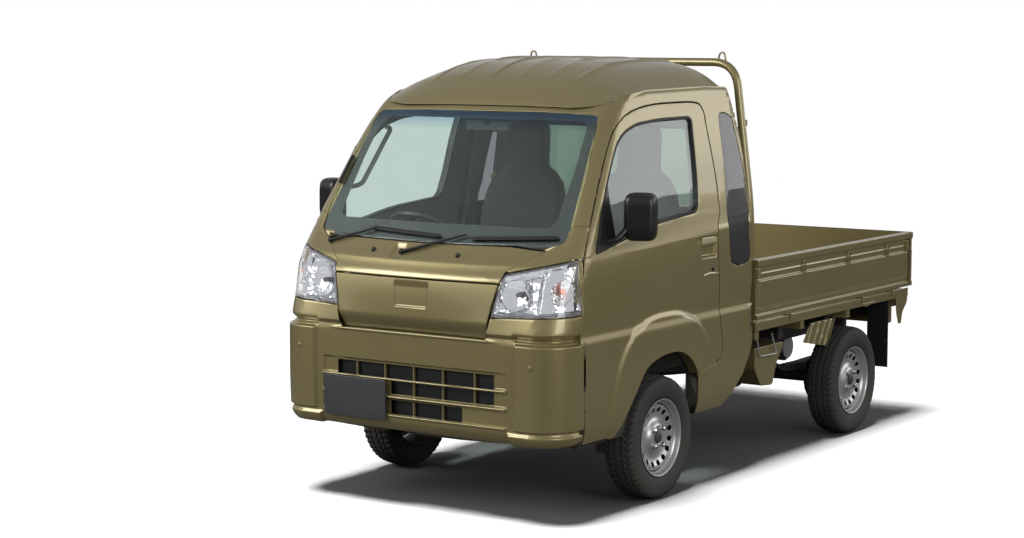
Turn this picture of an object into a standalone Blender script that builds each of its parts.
"""Kei truck: high-roof cab, drop-side bed, guard frame. Metres. The front faces -Y, +X is the vehicle's left."""

import math

import bmesh
import bpy
from mathutils import Matrix, Vector

# Driving sizes
LENGTH, HALF_WIDTH = 3.395, 0.7375
REAR = LENGTH / 2
AXLE_FRONT, AXLE_REAR = -0.850, 1.050
TYRE_RADIUS, TYRE_WIDTH = 0.2685, 0.145
WHEEL_X_FRONT, WHEEL_X_REAR = HALF_WIDTH - 0.085, HALF_WIDTH - 0.0875
KINGPIN_X = HALF_WIDTH - 0.1775
WIDE = HALF_WIDTH / 0.7375  # front views are drawn at the real truck's half width
PANEL, POCKET, SHELL, SEAT = 0.045, 0.052, 0.072, 0.0006
DOOR_GAP, SEAM_GAP = 0.007, 0.005
DOOR_AXIS = (HALF_WIDTH - 0.003, -1.4860)
BED_UNDER, BED_DEPTH, BED_FRONT, BED_REAR = 0.636, 0.036, -0.028, 1.655
BED_FLOOR = BED_UNDER + BED_DEPTH
BED_SIDE = HALF_WIDTH - 0.0075
GATE_AXIS_Z, GATE_HEIGHT = BED_FLOOR + 0.008, 0.280
GATE_LOW = GATE_AXIS_Z + 0.007
GATE_TOP = GATE_LOW + GATE_HEIGHT
RAIL_TOP, RAIL_DEPTH = BED_UNDER - 0.081, 0.105
RAIL_LOW = RAIL_TOP - RAIL_DEPTH
TUBE = 0.019

for old in list(bpy.data.objects):
    bpy.data.objects.remove(old)


# Shapes
def solid(name, points, faces):
    mesh = bpy.data.meshes.new(name)
    mesh.from_pydata(points, [], faces)
    work = bmesh.new()
    work.from_mesh(mesh)
    bmesh.ops.remove_doubles(work, verts=work.verts, dist=1e-6)
    bmesh.ops.recalc_face_normals(work, faces=work.faces)
    if work.calc_volume(signed=True) < 0:
        bmesh.ops.reverse_faces(work, faces=work.faces)
    work.to_mesh(mesh)
    work.free()
    made = bpy.data.objects.new(name, mesh)
    bpy.context.scene.collection.objects.link(made)
    return made


def loft(name, rings, split=False):
    """Split quads keep two offset lofts an even distance apart."""
    count = len(rings[0])
    points = [p for ring in rings for p in ring]
    faces = []
    for k in range(len(rings) - 1):
        a, b = k * count, (k + 1) * count
        for i in range(count):
            j = (i + 1) % count
            if not split:
                faces.append((a + i, a + j, b + j, b + i))
            elif points[a + i][0] + points[a + j][0] > 0:
                faces += [(a + i, a + j, b + j), (a + i, b + j, b + i)]
            else:
                faces += [(a + i, a + j, b + i), (a + j, b + j, b + i)]
    faces.append(tuple(range(count))[::-1])
    faces.append(tuple(range(len(points) - count, len(points))))
    return solid(name, points, faces)


def prism(name, outline, axis, low, high):
    """The outline's two numbers are the other two axes in x, y, z order."""
    places = {"x": lambda a, b, t: (t, a, b), "y": lambda a, b, t: (a, t, b), "z": lambda a, b, t: (a, b, t)}
    place = places[axis]
    return loft(name, [[place(a, b, low) for a, b in outline], [place(a, b, high) for a, b in outline]])


def box(name, low, high, bevel=0.0):
    (x0, y0, z0), (x1, y1, z1) = low, high
    made = prism(name, [(x0, y0), (x1, y0), (x1, y1), (x0, y1)], "z", z0, z1)
    return rounded(made, bevel) if bevel else made


def rounded(target, width, segments=1, angle=30):
    step = target.modifiers.new("round", "BEVEL")
    step.width, step.segments, step.angle_limit = width, segments, math.radians(angle)
    return settled(target)


def settled(target):
    graph = bpy.context.evaluated_depsgraph_get()
    mesh = bpy.data.meshes.new_from_object(target.evaluated_get(graph))
    target.modifiers.clear()
    target.data = mesh
    return target


def combined(target, others, how):
    for other in others:
        step = target.modifiers.new(how, "BOOLEAN")
        step.operation, step.solver, step.object = how, "EXACT", other
    settled(target)
    for other in others:
        bpy.data.objects.remove(other)
    return target


def less(target, *others):
    return combined(target, others, "DIFFERENCE")


def plus(target, *others):
    return combined(target, others, "UNION")


def common(target, *others):
    return combined(target, others, "INTERSECT")


def copy(target, name):
    made = target.copy()
    made.data = target.data.copy()
    made.name = name
    bpy.context.scene.collection.objects.link(made)
    return made


def mirrored(target, name):
    made = copy(target, name)
    made.data.transform(Matrix.Diagonal((-1, 1, 1, 1)))
    made.data.flip_normals()
    return made


def tube(name, path, radius, sides=12):
    """A bent tube along the path's points, with a mitred ring at each."""
    spots = [Vector(p) for p in path]
    rings, up = [], None
    for i, spot in enumerate(spots):
        before = (spot - spots[i - 1]).normalized() if i else (spots[1] - spot).normalized()
        after = (spots[i + 1] - spot).normalized() if i < len(spots) - 1 else before
        along = (before + after).normalized()
        if up is None:
            up = along.orthogonal().normalized()
        side = before.cross(up).normalized()
        up = side.cross(before).normalized()
        ring = []
        for k in range(sides):
            angle = 2 * math.pi * k / sides
            arm = (side * math.cos(angle) + up * math.sin(angle)) * radius
            ring.append(spot + arm - before * (arm.dot(along) / before.dot(along)))
        rings.append(ring)
    return loft(name, rings)


def turned(name, profile, sides, centre=(0, 0, 0), axis="x"):
    """The profile's rows are (along the axis, radius), from one end to the other; a closed ring if it returns."""
    points, faces, count = [], [], len(profile)
    for k in range(sides):
        angle = 2 * math.pi * k / sides - math.pi / 2
        for along, radius in profile:
            a, b = radius * math.cos(angle), radius * math.sin(angle)
            spot = {"x": (along, a, b), "y": (a, along, b), "z": (a, b, along)}[axis]
            points.append(tuple(c + s for c, s in zip(centre, spot)))
    closed = profile[0][1] > 0
    for k in range(sides):
        a, b = k * count, (k + 1) % sides * count
        for i in range(count if closed else count - 1):
            j = (i + 1) % count
            quad = [a + i, a + j, b + j, b + i]
            if profile[i][1] == 0:
                quad.remove(b + i)
            if profile[j][1] == 0:
                quad.remove(b + j)
            faces.append(tuple(quad))
    return solid(name, points, faces)


def grown(outline, by):
    """The outline moved outwards by this much, with mitred corners."""
    area = sum(a[0] * b[1] - b[0] * a[1] for a, b in zip(outline, outline[1:] + outline[:1]))
    sign = 1 if area > 0 else -1
    out = []
    for i, here in enumerate(outline):
        before = Vector(here) - Vector(outline[i - 1])
        after = Vector(outline[(i + 1) % len(outline)]) - Vector(here)
        n1 = Vector((before.y, -before.x)).normalized() * sign
        n2 = Vector((after.y, -after.x)).normalized() * sign
        middle = (n1 + n2).normalized()
        out.append(tuple(Vector(here) + middle * by / max(middle.dot(n1), 0.35)))
    return out


# Cab: plan sections from the sill to the roof rail
# height at the rear wall, fall per metre ahead of it, front y, side in from HALF_WIDTH, rear y, corner x, corner y,
# bow at x 0.6
CAB_LEVELS = (
    (0.325, 0.000, -1.6760, 0.0225, -0.045, 0.130, 0.150, 0.006),
    (0.400, 0.000, -1.6975, 0.0040, -0.045, 0.150, 0.175, 0.006),
    (0.560, 0.000, -1.6975, 0.0000, -0.045, 0.150, 0.175, 0.006),
    (0.757, 0.000, -1.6975, 0.0000, -0.045, 0.150, 0.175, 0.008),
    (0.772, 0.000, -1.6965, 0.0075, -0.045, 0.150, 0.175, 0.016),
    (0.900, 0.005, -1.6930, 0.0065, -0.045, 0.160, 0.175, 0.040),
    (1.030, 0.022, -1.6830, 0.0065, -0.045, 0.160, 0.165, 0.055),
    (1.147, 0.056, -1.6450, 0.0085, -0.045, 0.150, 0.145, 0.060),
    (1.168, 0.046, -1.6000, 0.0135, -0.045, 0.130, 0.110, 0.055),
    (1.192, 0.030, -1.5520, 0.0185, -0.045, 0.100, 0.080, 0.055),
    (1.252, 0.012, -1.4890, 0.0275, -0.043, 0.085, 0.075, 0.052),
    (1.334, 0.000, -1.4160, 0.0425, -0.040, 0.080, 0.080, 0.048),
    (1.468, 0.000, -1.3190, 0.0655, -0.040, 0.075, 0.085, 0.043),
    (1.583, 0.000, -1.2330, 0.0895, -0.046, 0.075, 0.090, 0.038),
    (1.650, 0.000, -1.1790, 0.1065, -0.054, 0.075, 0.100, 0.034),
    (1.700, 0.000, -1.1300, 0.1195, -0.062, 0.075, 0.105, 0.032),
    (1.790, 0.000, -0.9800, 0.1395, -0.085, 0.075, 0.105, 0.030),
)
FRONT_X = (0.0, 0.22, 0.42)
CORNER_STEPS, REAR_STEPS, REAR_RADIUS = 4, 2, 0.030


def cab_ring(level, inset=0.0):
    height, fall, front, side_in, rear, corner_x, corner_y, bow = level
    half, front, rear = HALF_WIDTH - side_in - inset, front + inset, rear - inset
    corner_x, corner_y = max(corner_x - inset, 0.02), max(corner_y - inset, 0.02)
    flat = half - corner_x
    side = [(x, front + bow * (x / 0.6) ** 2) for x in FRONT_X if x < flat - 0.01]
    while len(side) < len(FRONT_X):
        side.append(((side[-1][0] + flat) / 2, front + bow * ((side[-1][0] + flat) / 1.2) ** 2))
    start = front + bow * (flat / 0.6) ** 2
    for k in range(CORNER_STEPS + 1):
        turn = math.pi / 2 * k / CORNER_STEPS
        side.append((flat + corner_x * math.sin(turn), start + corner_y * (1 - math.cos(turn))))
    for k in range(REAR_STEPS + 1):
        turn = math.pi / 2 * k / REAR_STEPS
        side.append(
            (half - REAR_RADIUS * (1 - math.cos(turn)), rear - REAR_RADIUS * (1 - math.sin(turn)))
        )
    side.append((0.0, rear))
    ring = side + [(-x, y) for x, y in side[-2:0:-1]]
    return [(x, y, height + fall * (y + 0.06)) for x, y in ring]


def cab_loft(name, inset=0.0, low=None, high=None, levels=CAB_LEVELS):
    rings = [cab_ring(level, inset) for level in levels]
    if low is not None:
        rings = [[(x, y, low) for x, y, _ in rings[0]]] + [r for r in rings if min(p[2] for p in r) > low + 0.01]
    if high is not None:
        rings = rings + [[(x, y, high) for x, y, _ in rings[-1]]]
    return loft(name, rings, True)


def at_height(z, column):
    """One column of CAB_LEVELS at a height on the centre line's front."""
    rows = [(level[0] + level[1] * (level[2] + 0.06), level[column]) for level in CAB_LEVELS]
    for (z0, a), (z1, b) in zip(rows, rows[1:]):
        if z <= z1:
            return a + (b - a) * max(0.0, (z - z0) / (z1 - z0))
    return rows[-1][1]


def front_y(x, z):
    return at_height(z, 2) + at_height(z, 7) * (x / 0.6) ** 2


# Side view outlines (y, z)
DOOR = [
    (-1.485, 0.334), (-1.485, 1.120), (-1.450, 1.220), (-1.364, 1.312), (-1.290, 1.425), (-1.218, 1.525),
    (-1.140, 1.604), (-1.030, 1.657), (-0.885, 1.687), (-0.730, 1.697), (-0.450, 1.697), (-0.375, 1.688),
    (-0.352, 1.655), (-0.350, 1.200), (-0.350, 0.600), (-0.358, 0.566), (-0.385, 0.551), (-0.579, 0.514),
    (-0.612, 0.563), (-0.660, 0.603), (-0.725, 0.630), (-0.795, 0.638), (-0.900, 0.632), (-0.985, 0.609),
    (-1.031, 0.586), (-1.254, 0.334),
]
DOOR_WINDOW = [
    (-1.395, 1.106), (-1.262, 1.377), (-1.226, 1.430), (-1.150, 1.530), (-1.067, 1.590), (-0.950, 1.622),
    (-0.763, 1.636), (-0.490, 1.638), (-0.468, 1.622), (-0.530, 1.245), (-0.556, 1.221), (-0.887, 1.196),
]
QUARTER = [
    (-0.227, 1.640), (-0.169, 1.646), (-0.112, 1.625), (-0.104, 1.600), (-0.086, 1.186), (-0.086, 0.990),
    (-0.105, 0.966), (-0.190, 0.955), (-0.262, 0.975), (-0.272, 1.010), (-0.287, 1.188),
]
CAB_REAR_LOW = [
    (-0.560, 0.20), (-0.560, 0.331), (-0.315, 0.332), (-0.238, 0.389), (-0.154, 0.460), (-0.090, 0.550),
    (-0.052, 0.639), (0.100, 0.639), (0.100, 0.20),
]
# Front view outlines (x, z)
WINDSCREEN = [
    (-0.620, 1.152), (-0.40, 1.141), (0.0, 1.136), (0.40, 1.141), (0.620, 1.152), (0.634, 1.175),
    (0.578, 1.640), (0.560, 1.658), (0.30, 1.664), (-0.30, 1.664), (-0.560, 1.658), (-0.578, 1.640),
    (-0.634, 1.175),
]
REAR_WINDOW = [(-0.50, 1.20), (0.50, 1.20), (0.49, 1.545), (0.47, 1.56), (-0.47, 1.56), (-0.49, 1.545)]
LAMP = [(0.392, 0.856), (0.438, 1.031), (0.600, 1.066), (0.760, 1.104), (0.760, 0.872)]
LID = [
    (-0.420, 0.987), (-0.386, 0.853), (-0.368, 0.768), (0.368, 0.768), (0.386, 0.853), (0.420, 0.987),
]
COWL = [
    (-0.424, 0.992), (-0.429, 1.020), (-0.433, 1.038), (-0.560, 1.120), (-0.40, 1.130), (0.0, 1.126),
    (0.40, 1.130), (0.560, 1.120), (0.433, 1.038), (0.429, 1.020), (0.424, 0.992),
]
BUMPER_SEAM_Y, LAMP_SEAM_Y = -1.512, -1.506
HINGES = (0.480, 0.720)

outer = cab_loft("outer")
skin = cab_loft("skin", POCKET, low=0.20, high=1.95)
backing = cab_loft("backing", PANEL + SEAT, low=0.20, high=1.95)
panel_inner = cab_loft("panel_inner", PANEL, low=0.20, high=1.95)
glass_out = cab_loft("glass_out", 0.006, low=0.20, high=1.95)
glass_in = cab_loft("glass_in", 0.012, low=0.20, high=1.95)


def panel(name, *cutters):
    """The outer PANEL of the cab inside all the cutters."""
    return less(common(copy(outer, name), *cutters), copy(panel_inner, "inner"))


def pocket(cutter, floor):
    """What leaves room for such a panel, down to the floor's surface."""
    return less(cutter, copy(floor, "inner"))


def glazing(name, *cutters):
    return less(common(copy(glass_out, name), *cutters), copy(glass_in, "inner"))


def side(outline, sign, inner=0.2375, name="side"):
    """A side view cutter from this far in from HALF_WIDTH outwards."""
    low, high = sorted((sign * (HALF_WIDTH - inner), sign * (HALF_WIDTH + 0.0625)))
    return prism(name, outline, "x", low, high)


def door_side(outline, sign, inward=0.0):
    """A side view cutter that stays outboard of the windscreen pillar."""
    # distance in from HALF_WIDTH, height
    reach = [(0.1375, 0.10), (0.1375, 1.140), (0.0825, 1.160), (0.1705, 1.660), (0.1855, 1.80), (-0.1625, 1.80),
             (-0.1625, 0.10)]
    reach = [(sign * (HALF_WIDTH - d - (inward if d > 0 else 0)), z) for d, z in reach]
    return common(side(outline, sign, 0.3375), prism("reach", reach, "y", -1.80, 0.20))


def front(outline, low=-1.80, high=-1.05, name="front"):
    return prism(name, [(x * WIDE, z) for x, z in outline], "y", low, high)


# Roof rail line and roof
# y, height of the roof's seam
SEAM = ((-1.40, 1.690), (-1.135, 1.690), (-1.05, 1.716), (-0.956, 1.744), (-0.80, 1.758), (-0.30, 1.764),
        (-0.10, 1.758), (0.05, 1.752))
# y, side in from HALF_WIDTH, crown height, squareness; every bend of SEAM has a row
ROOF = (
    (-1.135, 0.2975, 1.700, 4.0),
    (-1.110, 0.2075, 1.724, 4.0),
    (-1.050, 0.1655, 1.772, 4.0),
    (-0.956, 0.1515, 1.826, 4.0),
    (-0.800, 0.1475, 1.872, 4.0),
    (-0.680, 0.1475, 1.886, 4.3),
    (-0.560, 0.1475, 1.890, 4.6),
    (-0.420, 0.1475, 1.888, 5.2),
    (-0.300, 0.1475, 1.883, 5.6),
    (-0.200, 0.1495, 1.872, 6.0),
    (-0.145, 0.1535, 1.855, 6.0),
    (-0.100, 0.1675, 1.800, 5.0),
    (-0.084, 0.1975, 1.768, 4.0),
)
ROOF_X = (-1.0, -0.96, -0.87, -0.72, -0.45, 0.0, 0.45, 0.72, 0.87, 0.96, 1.0)


def seam_at(y):
    for (y0, z0), (y1, z1) in zip(SEAM, SEAM[1:]):
        if y <= y1:
            return z0 + (z1 - z0) * (y - y0) / (y1 - y0)
    return SEAM[-1][1]


def roof_ring(row, drop=0.0):
    y, side_in, crown, square = row
    half, low = HALF_WIDTH - side_in - drop, seam_at(y) + 0.0006 - (0.06 if drop else 0)
    ring = [(half * u, y, low + 0.004 + (crown - drop - low - 0.004) * (1 - abs(u) ** square)) for u in ROOF_X]
    return ring + [(half, y, low), (-half, y, low)]


roof = loft("roof_panel", [roof_ring(row) for row in ROOF])
hollow = [roof_ring(row, 0.035) for row in ROOF[3:-3]]
roof = less(roof, loft("hollow", hollow))

above = loft("above", [[(-0.9, y, z), (0.9, y, z), (0.9, y, 2.1), (-0.9, y, 2.1)] for y, z in SEAM])

# Cab body
BEYOND = HALF_WIDTH + 0.1625
FEW = [CAB_LEVELS[k] for k in (3, 6, 7, 9, 11, 13, 15, 16)]
cavity = cab_loft("cavity", SHELL, low=0.702, high=2.0, levels=FEW)
cavity = common(cavity, box("keep", (-1, -1.56, 0.69), (1, 0.2, 2.05)))
body = less(
    copy(outer, "cab_body"),
    cavity,
    box("footwell", (-0.652 * WIDE, -1.56, 0.455), (0.652 * WIDE, -1.190, 0.75)),
    above,
)
body = less(
    body,
    box("under_feet", (-0.660 * WIDE, -1.630, 0.2), (0.660 * WIDE, -1.159, 0.425)),
    box("wheel_wells", (-BEYOND, -1.160, 0.2), (BEYOND, -0.560, 0.657)),
    box("engine_bay", (-0.668 * WIDE, -0.570, 0.2), (0.668 * WIDE, 0.10, 0.657)),
    prism("rear_low", CAB_REAR_LOW, "x", -BEYOND, BEYOND),
)
room = box("room", (-BEYOND, -1.8, 0.1), (BEYOND, BUMPER_SEAM_Y + SEAM_GAP, 0.863))
rooms = [front(grown(LID, SEAM_GAP), -1.81), front(grown(COWL, SEAM_GAP), -1.82)]
for sign in (1, -1):
    lamp = [(sign * x, z) for x, z in LAMP]
    rooms.append(front(grown(lamp, SEAM_GAP), -1.83, LAMP_SEAM_Y + SEAM_GAP))
    body = less(body, pocket(door_side(grown(DOOR, DOOR_GAP), sign), skin))
    body = less(body, door_side(grown(DOOR, -0.020), sign, 0.030))
    body = less(body, side(QUARTER, sign))
body = less(body, pocket(plus(room, *rooms), backing))
body = less(body, front(WINDSCREEN), front(REAR_WINDOW, -0.30, 0.05))

# Panels that come off the cab
lid = panel("front_lid", front(LID))
lid = less(lid, front([(-0.088, 0.884), (0.088, 0.884), (0.095, 0.966), (-0.095, 0.966)], -1.8, -1.688))
cowl = panel("cowl_panel", front(COWL))
bumper = panel("front_bumper", box("bumper", (-BEYOND, -1.8, 0.1), (BEYOND, BUMPER_SEAM_Y, 0.856)))
bumper = less(bumper, front([(-0.436, 1.1)] + [(x, z) for x, z in grown(LID, 0.008)[1:5]] + [(0.436, 1.1)]))
# x from, x to, z from, z to of the slots in the bumper
SLOTS = [(x0 + 0.006, x1 - 0.006, z0, z1) for x0, x1, z0, z1 in (
    (-0.400, -0.300, 0.564, 0.618), (-0.300, -0.150, 0.564, 0.618), (-0.150, 0.000, 0.564, 0.618),
    (0.000, 0.150, 0.564, 0.618), (0.150, 0.310, 0.564, 0.618), (0.310, 0.415, 0.564, 0.618),
    (-0.116, 0.000, 0.496, 0.550), (0.000, 0.150, 0.496, 0.550), (0.150, 0.310, 0.496, 0.550),
    (0.310, 0.415, 0.496, 0.550),
    (-0.116, 0.000, 0.412, 0.468), (0.000, 0.150, 0.412, 0.468), (0.150, 0.250, 0.412, 0.468),
)]
bumper = less(bumper, *[box("slot", (x0 * WIDE, -1.8, z0), (x1 * WIDE, -1.60, z1))
                        for x0, x1, z0, z1 in SLOTS])
for sign, name in ((1, "left"), (-1, "right")):
    lamp = [(sign * x, z) for x, z in LAMP]
    panel("headlamp_" + name, front(lamp, high=LAMP_SEAM_Y))
    door = panel("door_" + name, door_side(DOOR, sign, -0.006))
    less(door, side(DOOR_WINDOW, sign))
    edge = [(sign * (DOOR_AXIS[0] + x), y) for x, y in ((-0.0023, -1.4862), (0.0064, -1.4862), (0.0064, -1.4779))]
    less(door, prism("chamfer", edge, "z", 0.2, 1.3))
    low, high = sorted((sign * (HALF_WIDTH - 0.1875), sign * (HALF_WIDTH - 0.0615)))
    less(door, box("nose", (low, -1.500, 1.040), (high, -1.448, 1.150)))
    for z in HINGES:
        low, high = sorted((sign * (DOOR_AXIS[0] - 0.0125), sign * (DOOR_AXIS[0] + 0.0105)))
        less(door, box("notch", (low, -1.490, z - 0.0115), (high, -1.4795, z + SEAT / 2)))
        low, high = sorted((sign * (DOOR_AXIS[0] - 0.0062), sign * (DOOR_AXIS[0] + 0.0021)))
        knuckle = [(z - 0.010, 0), (z - 0.010, 0.0028), (z, 0.0028), (z, 0)]
        spot = (sign * DOOR_AXIS[0], DOOR_AXIS[1], 0)
        web = box("web", (low, -1.4945, z - 0.009), (high, -1.486, z - 0.001))
        plus(body, web, turned("pin", knuckle, 8, spot, "z"))
        knuckle = [(a + 0.010 + SEAT, r) for a, r in knuckle]
        plus(door, plus(box("web", (low, -1.486, z + SEAT + 0.001), (high, -1.4785, z + 0.009)),
                        turned("pin", knuckle, 10, spot, "z")))
    glazing("quarter_glass_" + name, side(grown(QUARTER, -0.0006), sign))

# Glass
glazing("windshield", front(grown(WINDSCREEN, -0.0006)))
glazing("rear_glass", front(grown(REAR_WINDOW, -0.0006), -0.30, 0.05))
SAIL = [(-1.3900, 1.1085), (-1.2630, 1.3720), (-1.2525, 1.3840), (-1.2355, 1.1358)]
GLASS_SHARE = [(-1.2345, 1.1354), (-1.2512, 1.3862)] + [p for p in grown(DOOR_WINDOW, -0.0006)[2:]]
for sign, name in ((1, "left"), (-1, "right")):
    glazing("door_glass_" + name, side(GLASS_SHARE, sign))
for helper in (outer, skin, backing, panel_inner):
    bpy.data.objects.remove(helper)

# Mirrors: sail plate in the window's corner, arm and housing swept back
MIRROR, SWEEP = (HALF_WIDTH + 0.0715, -1.191, 1.250), math.radians(20)
for sign, name in ((1, "left"), (-1, "right")):
    plate = less(common(copy(glass_out, "mirror_" + name), side(SAIL, sign)), copy(glass_in, "inner"))
    arm = tube("arm", [(sign * (HALF_WIDTH - 0.0375), -1.300, 1.148), (sign * (HALF_WIDTH + 0.0105), -1.278, 1.156),
                       (sign * (MIRROR[0] - 0.031), -1.212, 1.222)],
               0.014, 8)
    housing = loft("housing", [
        [(sign * (MIRROR[0] + out * s * 0.068 - math.sin(SWEEP) * d),
          MIRROR[1] + back * s * 0.068 + math.cos(SWEEP) * d, MIRROR[2] + b * s * 0.100)
         for a, b in ((-1, -0.8), (-0.8, -1), (0.8, -1), (1, -0.8), (1, 0.8), (0.8, 1), (-0.8, 1), (-1, 0.8))
         for out, back in [(a * math.cos(SWEEP), a * math.sin(SWEEP))]]
        for d, s in ((-0.042, 0.72), (-0.030, 0.92), (0.0, 1.0), (0.030, 1.0))
    ])
    plus(plate, arm, housing)
for helper in (glass_out, glass_in):
    bpy.data.objects.remove(helper)

# Wipers: arm and blade just off the glass
# name, pivot x z, elbow x z, blade from x z, to x z
WIPERS = (
    ("wiper_right", (-0.532, 1.112), (-0.300, 1.178), (-0.320, 1.176), (0.055, 1.160)),
    ("wiper_left", (-0.102, 1.090), (0.180, 1.172), (0.205, 1.158), (0.600, 1.176)),
)


def off_glass(x, z, off=0.016):
    return (x * WIDE, front_y(x * WIDE, z) - off, z + off * 0.6)


def reach_to(targets, spot, radius):
    """How far a post of this radius goes along +Y from the spot before it meets a target."""
    hits = []
    for k in range(8):
        angle = math.pi / 4 * k
        start = Vector(spot) + Vector((radius * math.cos(angle), 0, radius * math.sin(angle)))
        for target in targets:
            found, where, _, _ = target.ray_cast(start, Vector((0, 1, 0)))
            if found:
                hits.append(where.y - start.y)
    return min(hits)


for name, pivot, elbow, start, end in WIPERS:
    base = Vector(off_glass(*pivot, 0.030))
    arm = tube(name, [base, off_glass(*elbow), off_glass(*start)] if name == "wiper_left" else [
        base, off_glass(*elbow)], 0.0055, 8)
    blade = tube("blade", [off_glass(*start), off_glass((start[0] + end[0]) / 2, (start[1] + end[1]) / 2),
                           off_glass(*end)], 0.006, 6)
    foot = reach_to((cowl, body), base, 0.008) - (0.0009 if name == "wiper_left" else 0.0030)
    hub = turned("hub", [(-0.010, 0), (-0.010, 0.013), (0.009, 0.013), (0.009, 0.008), (foot, 0.008), (foot, 0)], 8,
                 base, "y")
    plus(arm, blade, hub)

# Aerial base on the right windscreen pillar
def pillar_point(z, off):
    """A point this far off the outer corner of the right windscreen pillar."""
    corner_x, corner_y, turn = at_height(z, 5), at_height(z, 6), math.radians(10)
    flat = HALF_WIDTH - at_height(z, 3) - corner_x
    lean = Vector((-math.sin(turn) / corner_x, -math.cos(turn) / corner_y, 0)).normalized()
    y = front_y(flat, z) + corner_y * (1 - math.cos(turn))
    return Vector((-(flat + corner_x * math.sin(turn)), y, z)) + lean * off


tube("aerial", [pillar_point(1.345, 0.0088), pillar_point(1.462, 0.0088)], 0.0080, 8)

# Inside of the cab
prism("dashboard", [(-1.490, 1.045), (-1.300, 1.060), (-1.235, 1.010), (-1.245, 0.820), (-1.340, 0.740),
                    (-1.5450, 0.740), (-1.5450, 0.990)], "x", -HALF_WIDTH + 0.1375, HALF_WIDTH - 0.1375)
SEATS = (("seat_left", 0.300), ("seat_right", -0.300))
for name, x in SEATS:
    # y, z of cushion, back and head rest at the sides, then half width there
    base = box(name, (x - 0.215, -0.960, 0.702 + SEAT), (x + 0.215, -0.470, 0.790))
    cushion = loft("cushion", [
        [(x - w, y, 0.780), (x + w, y, 0.780), (x + w, y, z), (x + w - 0.05, y, z + 0.012),
         (x - w + 0.05, y, z + 0.012), (x - w, y, z)]
        for y, z, w in ((-0.985, 0.850, 0.215), (-0.960, 0.885, 0.228), (-0.700, 0.880, 0.230), (-0.480, 0.862, 0.225))
    ])
    back = loft("back", [
        [(x - w, y0, z), (x - w + 0.04, y0 - 0.020, z), (x + w - 0.04, y0 - 0.020, z), (x + w, y0, z), (x + w, y1, z),
         (x - w, y1, z)]
        for z, y0, y1, w in (
            (0.790, -0.500, -0.395, 0.215), (0.950, -0.495, -0.360, 0.228), (1.150, -0.462, -0.325, 0.222),
            (1.290, -0.438, -0.305, 0.195), (1.350, -0.425, -0.300, 0.140), (1.390, -0.420, -0.298, 0.100),
            (1.560, -0.400, -0.285, 0.095), (1.590, -0.385, -0.292, 0.070))
    ])
    plus(base, cushion, back)

WHEEL_CENTRE, WHEEL_LEAN = Vector((-0.300, -1.150, 1.105)), math.radians(-38)


def leaned(target):
    target.data.transform(Matrix.Translation(WHEEL_CENTRE) @ Matrix.Rotation(WHEEL_LEAN, 4, "X"))
    return target


ring = [(0.012 * math.cos(t), 0.180 + 0.012 * math.sin(t)) for t in (k * math.pi / 3 for k in range(6))]
steering = leaned(turned("steering_wheel", ring, 24, axis="z"))
hub = leaned(turned("hub", [(-0.052, 0), (-0.052, 0.045), (-0.006, 0.055), (0.004, 0.0)], 16, axis="z"))
spokes = [leaned(loft("spoke", [
    [(math.cos(t) * r - math.sin(t) * w, math.sin(t) * r + math.cos(t) * w, z)
     for w, z in ((-0.016, -0.006 - d), (0.016, -0.006 - d), (0.016, 0.004 - d), (-0.016, 0.004 - d))]
    for r, d in ((0.03, 0.012), (0.178, 0.0))])) for t in (math.radians(a) for a in (10, 170, 270))]
plus(steering, hub, *spokes)
column = leaned(turned("column", [(-0.300, 0), (-0.300, 0.032), (-0.0526, 0.038), (-0.0526, 0)], 12, axis="z"))
dash = bpy.data.objects["dashboard"]
plus(dash, column, box("back", (-0.45, -1.560 + SEAT, 0.745), (0.45, -1.53, 0.960)))

# Chassis
RAIL = [
    (-1.600, 0.335), (-1.090, 0.335), (-0.930, RAIL_LOW), (1.600, RAIL_LOW), (1.600, RAIL_TOP), (-0.980, RAIL_TOP),
    (-1.130, 0.418), (-1.600, 0.418),
]
frame = prism("chassis_frame", RAIL, "x", 0.300, 0.352)
others = [prism("rail", RAIL, "x", -0.352, -0.300)]
# y, height above the rails' low edge of the cross members
others.append(box("cross", (-0.32, -1.590, 0.345), (0.32, -1.530, 0.405)))
for y0, up in ((-0.050, 0.020), (0.500, 0.020), (1.540, 0.012)):
    others.append(box("cross", (-0.32, y0, RAIL_LOW + up), (0.32, y0 + 0.060, RAIL_LOW + up + 0.070)))
BEAMS = (-0.005, 0.455, 0.955, 1.505)
OUT = HALF_WIDTH - 0.1375
for y0 in BEAMS:
    others.append(box("outrigger", (-OUT, y0 - 0.005, RAIL_TOP - 0.019), (OUT, y0 + 0.045, BED_UNDER - 0.0435)))
for x in (0.325, -0.325):
    others.append(box("cab_mount", (x - 0.03, -1.400, 0.40), (x + 0.03, -1.340, 0.4245)))
    others.append(box("cab_mount", (x - 0.03, -0.300, RAIL_TOP - 0.015), (x + 0.03, -0.240, 0.6565)))
plus(frame, *others)

BEAM_END = KINGPIN_X - 0.105
front_beam = box("front_crossmember", (-BEAM_END, -0.905, 0.250), (BEAM_END, -0.795, 0.300), 0.008)
arms = []
for sign in (1, -1):
    low, high = sorted((sign * (KINGPIN_X - 0.160), sign * (KINGPIN_X - 0.0335)))
    arms.append(box("arm", (low, -0.875, 0.175), (high, -0.825, 0.262)))
    low, high = sorted((sign * (KINGPIN_X - 0.080), sign * (KINGPIN_X + 0.022)))
    arms.append(box("seat", (low, -0.872, 0.175), (high, -0.828, 0.200 - SEAT)))
    low, high = sorted((sign * 0.302, sign * 0.350))
    arms.append(box("post", (low, -0.900, 0.290), (high, -0.800, RAIL_LOW - 0.0005)))
plus(front_beam, *arms)

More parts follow.
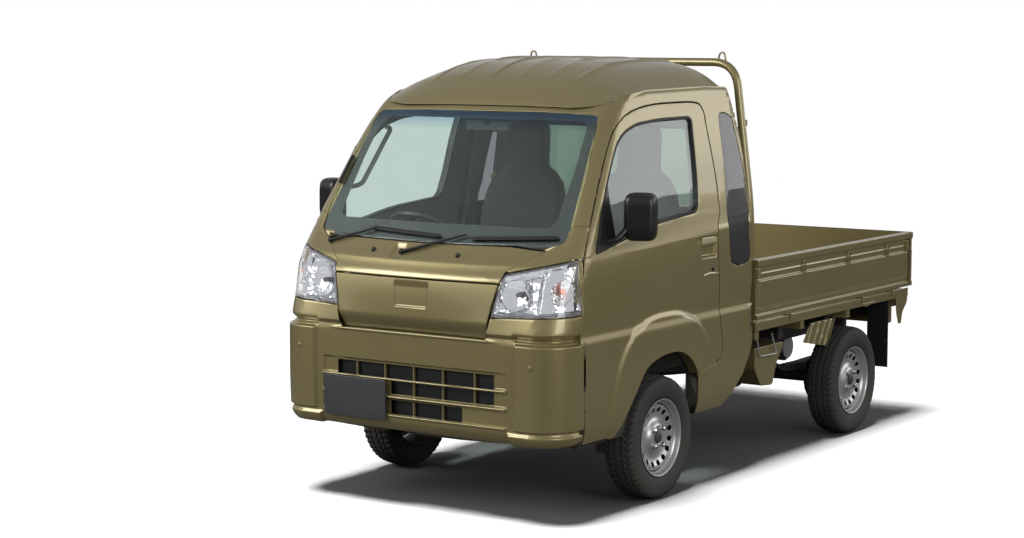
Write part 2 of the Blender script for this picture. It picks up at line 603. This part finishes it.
# Rear axle with drums and leaf springs; the springs' ends hang from the rails
AXLE_Z, EYE_Z = TYRE_RADIUS, RAIL_LOW - 0.004
TUBE_END = WHEEL_X_REAR - 0.150
axle = turned("rear_axle", [(-TUBE_END, 0), (-TUBE_END, 0.030), (-0.110, 0.032), (-0.080, 0.060), (-0.060, 0.095),
                            (0.060, 0.095), (0.080, 0.060), (0.110, 0.032), (TUBE_END, 0.030), (TUBE_END, 0)], 16,
              (0, AXLE_REAR, AXLE_Z))
others = []
for sign in (1, -1):
    others.append(turned("drum", [(a * sign, r) for a, r in (
        (TUBE_END - 0.010, 0), (TUBE_END - 0.010, 0.105), (TUBE_END + 0.088, 0.100), (TUBE_END + 0.088, 0.040),
        (TUBE_END + 0.1894, 0.034), (TUBE_END + 0.1894, 0))],
                         18, (0, AXLE_REAR, AXLE_Z)))
    # distance ahead of or behind the axle, share of the rise from the axle to the eyes, thickness
    leaf = [(y, AXLE_Z + 0.0275 + share * (EYE_Z - AXLE_Z - 0.0275), thick) for y, share, thick in (
        (-0.490, 0.910, 0.014), (-0.450, 0.720, 0.016), (-0.220, 0.145, 0.026), (0.0, 0.0, 0.044),
        (0.220, 0.145, 0.026), (0.430, 0.720, 0.016), (0.470, 0.910, 0.014))]
    leaf = [(AXLE_REAR + y, z) for y, z, _ in leaf] + [(AXLE_REAR + y, z + thick) for y, z, thick in leaf[::-1]]
    low, high = sorted((sign * 0.385, sign * 0.440))
    others.append(prism("leaf", leaf, "x", low, high))
    for y in (0.545, 1.495):
        low, high = sorted((sign * (0.352 + SEAT), sign * 0.440))
        others.append(box("hanger", (low, y, EYE_Z - 0.021), (high, y + 0.040, RAIL_TOP - 0.025)))
plus(axle, *others)

tube("propshaft", [(0, -0.2470, 0.400), (0, 0.9515, AXLE_Z + 0.0215)], 0.028, 12)
block = box("engine", (-0.240, -0.780, 0.215), (0.240, -0.250, 0.600), 0.015)
plus(block, box("mounts", (-0.300 + SEAT, -0.600, RAIL_LOW + 0.020), (0.300 - SEAT, -0.540, RAIL_LOW + 0.060)))
box("fuel_tank", (-HALF_WIDTH + 0.0975, 0.120, RAIL_LOW - 0.150), (-0.352 - SEAT, 0.440, RAIL_TOP - 0.025), 0.025)
box("battery_box", (0.352 + SEAT, 0.140, RAIL_LOW - 0.135), (HALF_WIDTH - 0.0975, 0.430, RAIL_TOP - 0.025),
    0.012)
muffler = turned("muffler", [(-0.16, 0), (-0.16, 0.060), (-0.14, 0.075), (0.14, 0.075), (0.16, 0.060), (0.16, 0)],
                 16, (-0.02, 1.460, 0.340))
plus(muffler, *[box("strap", (x, 1.450, 0.395), (x + 0.025, 1.590, RAIL_LOW + 0.012 - SEAT)) for x in (-0.110, 0.045)])

# Bed
floor = box("bed_floor", (-BED_SIDE, BED_FRONT, BED_UNDER), (BED_SIDE, BED_REAR, BED_FLOOR))
board = box("board", (-BED_SIDE + 0.030, BED_FRONT, BED_FLOOR - 0.012),
            (BED_SIDE - 0.030, BED_FRONT + 0.016, GATE_TOP - 0.022))
beams = [box("beam", (-BED_SIDE + 0.015, y, BED_UNDER - 0.043), (BED_SIDE - 0.015, y + 0.040, BED_UNDER + 0.004))
         for y in BEAMS]
# Gate hinges: y along the side gates, x along the tailgate
SIDE_HINGES, TAIL_HINGES, KNUCKLE = (0.329, 1.113, 1.464), (-0.450, 0.450), 0.0055
TAIL_AXIS = REAR - KNUCKLE


def knuckle(axis, start, centre):
    ends = [(start, 0), (start, KNUCKLE), (start + 0.020, KNUCKLE), (start + 0.020, 0)]
    return turned("pin", ends, 8, centre, axis)


fixed = []
for y in SIDE_HINGES:
    for sign in (1, -1):
        low, high = sorted((sign * (BED_SIDE - 0.030), sign * HALF_WIDTH))
        fixed.append(box("web", (low, y - 0.020, BED_FLOOR - 0.017), (high, y, GATE_AXIS_Z)))
        fixed.append(knuckle("y", y - 0.020, (sign * HALF_WIDTH, 0, GATE_AXIS_Z)))
for x in TAIL_HINGES:
    fixed.append(box("web", (x - 0.020, BED_REAR - 0.015, BED_FLOOR - 0.017), (x, BED_REAR + 0.003, GATE_AXIS_Z)))
    fixed.append(box("web", (x - 0.020, BED_REAR - 0.015, GATE_AXIS_Z - KNUCKLE), (x, TAIL_AXIS, GATE_AXIS_Z)))
    fixed.append(knuckle("x", x - 0.020, (0, TAIL_AXIS, GATE_AXIS_Z)))
plus(floor, board, *beams)
plus(floor, *fixed)

# Section of a gate: distance in from the outer face, height
GATE = [
    (0.004, GATE_TOP), (0.000, GATE_TOP - 0.004), (0.000, GATE_TOP - 0.033), (0.005, GATE_TOP - 0.038),
    (0.014, GATE_TOP - 0.041), (0.014, GATE_TOP - 0.093), (0.006, GATE_TOP - 0.105), (0.006, GATE_LOW + 0.045),
    (0.012, GATE_LOW + 0.035), (0.012, GATE_LOW + 0.025), (0.002, GATE_LOW + 0.019), (0.002, GATE_LOW),
    (0.034, GATE_LOW), (0.034, GATE_TOP - 0.004), (0.030, GATE_TOP),
]
for sign, name in ((1, "left"), (-1, "right")):
    section = [(sign * (HALF_WIDTH - d), z) for d, z in GATE]
    gate = prism("side_gate_" + name, section, "y", BED_FRONT + 0.006, BED_REAR)
    for y in SIDE_HINGES:
        low, high = sorted((sign * BED_SIDE, sign * (HALF_WIDTH + 0.0025)))
        plus(gate, box("web", (low, y + SEAT, GATE_AXIS_Z), (high, y + SEAT + 0.020, GATE_LOW + 0.004)),
             knuckle("y", y + SEAT, (sign * HALF_WIDTH, 0, GATE_AXIS_Z)))
gate = prism("tailgate", [(REAR - d, z) for d, z in GATE], "x", -HALF_WIDTH + 0.003, HALF_WIDTH - 0.003)
for x in TAIL_HINGES:
    web = box("web", (x + SEAT, TAIL_AXIS - 0.004, GATE_AXIS_Z), (x + SEAT + 0.020, TAIL_AXIS, GATE_LOW + 0.004))
    plus(gate, web, knuckle("x", x + SEAT, (0, TAIL_AXIS, GATE_AXIS_Z)))

# Guard frame: posts on the bed, mitred bends, top bar, loop and side hooks
FRAME_Y = 0.012
SHIFT = HALF_WIDTH - 0.7375
PATH = [(0.677, BED_FLOOR + 0.0006), (0.677, 1.180), (0.6125, 1.690), (0.597, 1.762), (0.560, 1.828), (0.500, 1.866)]
PATH = [(x + SHIFT, z) for x, z in PATH]
whole = [(x, FRAME_Y, z) for x, z in PATH] + [(-x, FRAME_Y, z) for x, z in PATH[::-1]]
guard = tube("guard_frame", whole, TUBE, 12)
hooks = []
for sign in (1, -1):
    hooks.append(tube("loop", [(sign * (x + SHIFT), FRAME_Y, z) for x, z in (
        (0.498, 1.870), (0.500, 1.902), (0.512, 1.912), (0.534, 1.908), (0.543, 1.896), (0.540, 1.850))], 0.0045, 6))
    hooks.append(tube("peg", [(sign * (x + SHIFT), y, 1.588) for x, y in ((0.618, FRAME_Y), (0.620, 0.070))],
                      0.006, 6))
plus(guard, *hooks)

# Rear lamp bar and mud flaps
BAR = HALF_WIDTH - 0.1175
bar = box("rear_lamp_bar", (-BAR, 1.600 + SEAT, RAIL_TOP - 0.065), (BAR, 1.650, RAIL_TOP + 0.005))
lamps = [box("lamp", (x - 0.105, 1.640, RAIL_TOP - 0.070), (x + 0.105, 1.672, RAIL_TOP + 0.023), 0.006)
         for x in (-BAR + 0.090, BAR - 0.090)]
plus(bar, *lamps)
for sign, name in ((1, "left"), (-1, "right")):
    low, high = sorted((sign * (HALF_WIDTH - 0.1335), sign * (HALF_WIDTH - 0.0175)))
    box("mud_flap_" + name, (low, 1.436, 0.285), (high, 1.442, BED_UNDER - SEAT))

# Wheels
TYRE = [(-0.0560, 0.1700), (-0.0715, 0.198), (-0.0725, 0.232), (-0.0620, 0.258), (-0.0450, 0.2660),
        (0.0, TYRE_RADIUS), (0.0450, 0.2660), (0.0620, 0.258), (0.0725, 0.232), (0.0715, 0.198), (0.0560, 0.1700)]
RIM = [(0.050, 0), (0.050, 0.042), (0.028, 0.090), (0.034, 0.124), (0.064, 0.156), (0.064, 0.1694), (0.055, 0.1694),
       (0.047, 0.150), (-0.047, 0.150), (-0.055, 0.1694), (-0.064, 0.1694), (-0.058, 0.144), (0.022, 0.138),
       (0.018, 0.090), (0.040, 0.042), (0.040, 0)]
WHEEL_SIDES = 26
SPOTS = (("front_left", 1, WHEEL_X_FRONT, AXLE_FRONT), ("front_right", -1, WHEEL_X_FRONT, AXLE_FRONT),
         ("rear_left", 1, WHEEL_X_REAR, AXLE_REAR), ("rear_right", -1, WHEEL_X_REAR, AXLE_REAR))
for name, sign, x, y in SPOTS:
    centre = (sign * x, y, TYRE_RADIUS)
    turned("tyre_" + name, [(sign * a, r) for a, r in TYRE], WHEEL_SIDES, centre)
    turned("rim_" + name, [(sign * a, r) for a, r in RIM], WHEEL_SIDES, centre)

# Knuckles: upright on the steering axis, spindle and brake disc cover inside the rim
for sign, name in ((1, "left"), (-1, "right")):
    upright = turned("knuckle_" + name, [(0.200, 0), (0.200, 0.026), (0.350, 0.026), (0.350, 0)], 12,
                     (sign * KINGPIN_X, AXLE_FRONT, 0), "z")
    spindle = turned("spindle", [(a * sign, r) for a, r in (
        (-0.0975, 0), (-0.0975, 0.024), (-0.0525, 0.024), (-0.0505, 0.090), (-0.0075, 0.090), (-0.0025, 0.034),
        (0.0394, 0.034), (0.0394, 0))], 16, (sign * WHEEL_X_FRONT, AXLE_FRONT, TYRE_RADIUS))
    plus(upright, spindle)

# Joint axes: each moving piece's origin sits on its axis
ORIGINS = {
    "door_left": (DOOR_AXIS[0], DOOR_AXIS[1], 0.8), "door_right": (-DOOR_AXIS[0], DOOR_AXIS[1], 0.8),
    "side_gate_left": (HALF_WIDTH, 0.8, GATE_AXIS_Z), "side_gate_right": (-HALF_WIDTH, 0.8, GATE_AXIS_Z),
    "tailgate": (0, TAIL_AXIS, GATE_AXIS_Z), "steering_wheel": tuple(WHEEL_CENTRE),
    "knuckle_left": (KINGPIN_X, AXLE_FRONT, TYRE_RADIUS), "knuckle_right": (-KINGPIN_X, AXLE_FRONT, TYRE_RADIUS),
}
for name, sign, x, y in SPOTS:
    ORIGINS["tyre_" + name] = ORIGINS["rim_" + name] = (sign * x, y, TYRE_RADIUS)
for name, spot in ORIGINS.items():
    moved = bpy.data.objects[name]
    moved.data.transform(Matrix.Translation(-Vector(spot)))
    moved.location = spot

# Plain materials: colour, metallic, roughness
PAINT, BLACK = ((0.16, 0.13, 0.055), 0.5, 0.35), ((0.012, 0.012, 0.012), 0.0, 0.6)
STEEL = ((0.45, 0.45, 0.46), 0.9, 0.4)
DARK, GLASS = ((0.03, 0.03, 0.032), 0.3, 0.6), ((0.03, 0.05, 0.045), 0.0, 0.05)
LOOKS = (
    (("cab_body", "roof", "cowl", "front_lid", "front_bumper", "door_left", "door_right", "side_gate", "tailgate",
      "bed_floor"), PAINT),
    (("windshield", "rear_glass", "quarter_glass", "door_glass"), GLASS),
    (("rim", "headlamp"), STEEL),
    (("tyre", "mirror", "wiper", "aerial", "dashboard", "seat", "steering", "mud_flap", "guard_frame"), BLACK),
)
for made in [o for o in bpy.data.objects if o.type == "MESH"]:
    look = next((values for names, values in LOOKS if made.name.startswith(names)), DARK)
    (red, green, blue), metal, rough = look
    material = bpy.data.materials.new(made.name)
    material.use_nodes = True
    shader = material.node_tree.nodes["Principled BSDF"]
    shader.inputs["Base Color"].default_value = (red, green, blue, 1)
    shader.inputs["Metallic"].default_value = metal
    shader.inputs["Roughness"].default_value = rough
    made.data.materials.clear()
    made.data.materials.append(material)
    group = bpy.data.collections.new(made.name)
    bpy.context.scene.collection.children.link(group)
    bpy.context.scene.collection.objects.unlink(made)
    group.objects.link(made)
